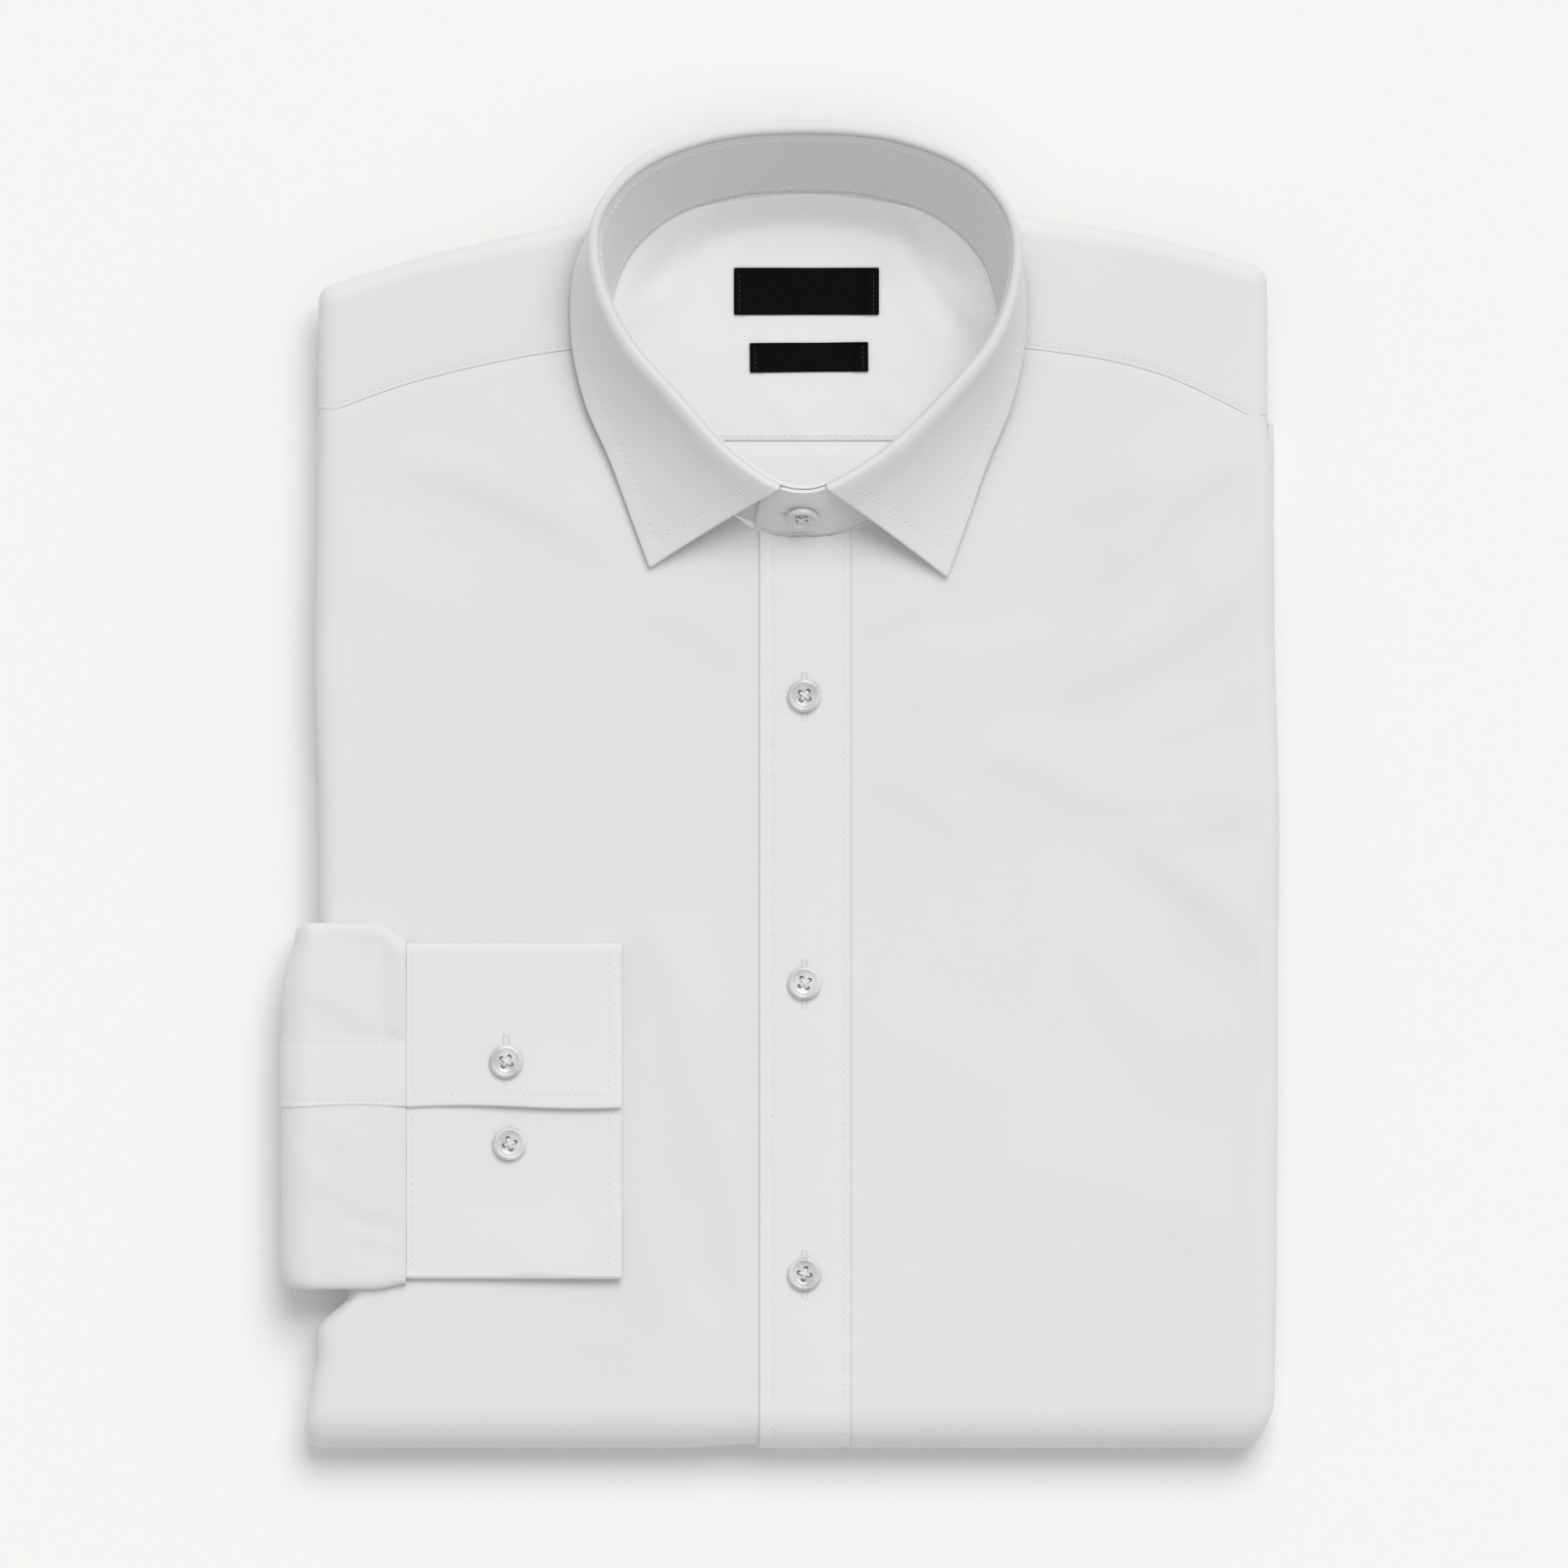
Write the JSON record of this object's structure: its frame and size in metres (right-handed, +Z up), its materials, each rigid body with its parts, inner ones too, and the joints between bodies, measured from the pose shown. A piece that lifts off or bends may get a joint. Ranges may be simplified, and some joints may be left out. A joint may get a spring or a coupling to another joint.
{
  "type": "folded dress shirt",
  "caption": "Plain white dress shirt, buttoned and folded flat, with turned-down collar, button placket and one cuff laid on the front.",
  "frame": {"origin": "middle of the underside, on the surface that the folded shirt rests on", "axes": "+X towards the wearer's left, +Y towards the collar, +Z up out of the front"},
  "size_m": [0.3162, 0.4194, 0.058],
  "materials": {
    "shirting": "white cotton poplin, pressed",
    "button": "white pearly shell, polished",
    "label": "black woven satin, blank",
    "thread": "white sewing thread"
  },
  "bodies": {
    "root": {"hidden_layers": "shirting", "right_front": "shirting", "left_front": "shirting", "placket": "shirting", "yoke": "shirting", "inner_yoke": "shirting", "back_panel": "shirting", "collar_stand": "shirting", "collar_leaf": "shirting", "right_sleeve": "shirting", "sleeve_placket": "shirting", "right_cuff": "shirting", "front_button_1": "button", "front_button_2": "button", "front_button_3": "button", "collar_button": "button", "cuff_button_1": "button", "cuff_button_2": "button", "neck_label": "label", "size_label": "label"}
  },
  "joints": []
}
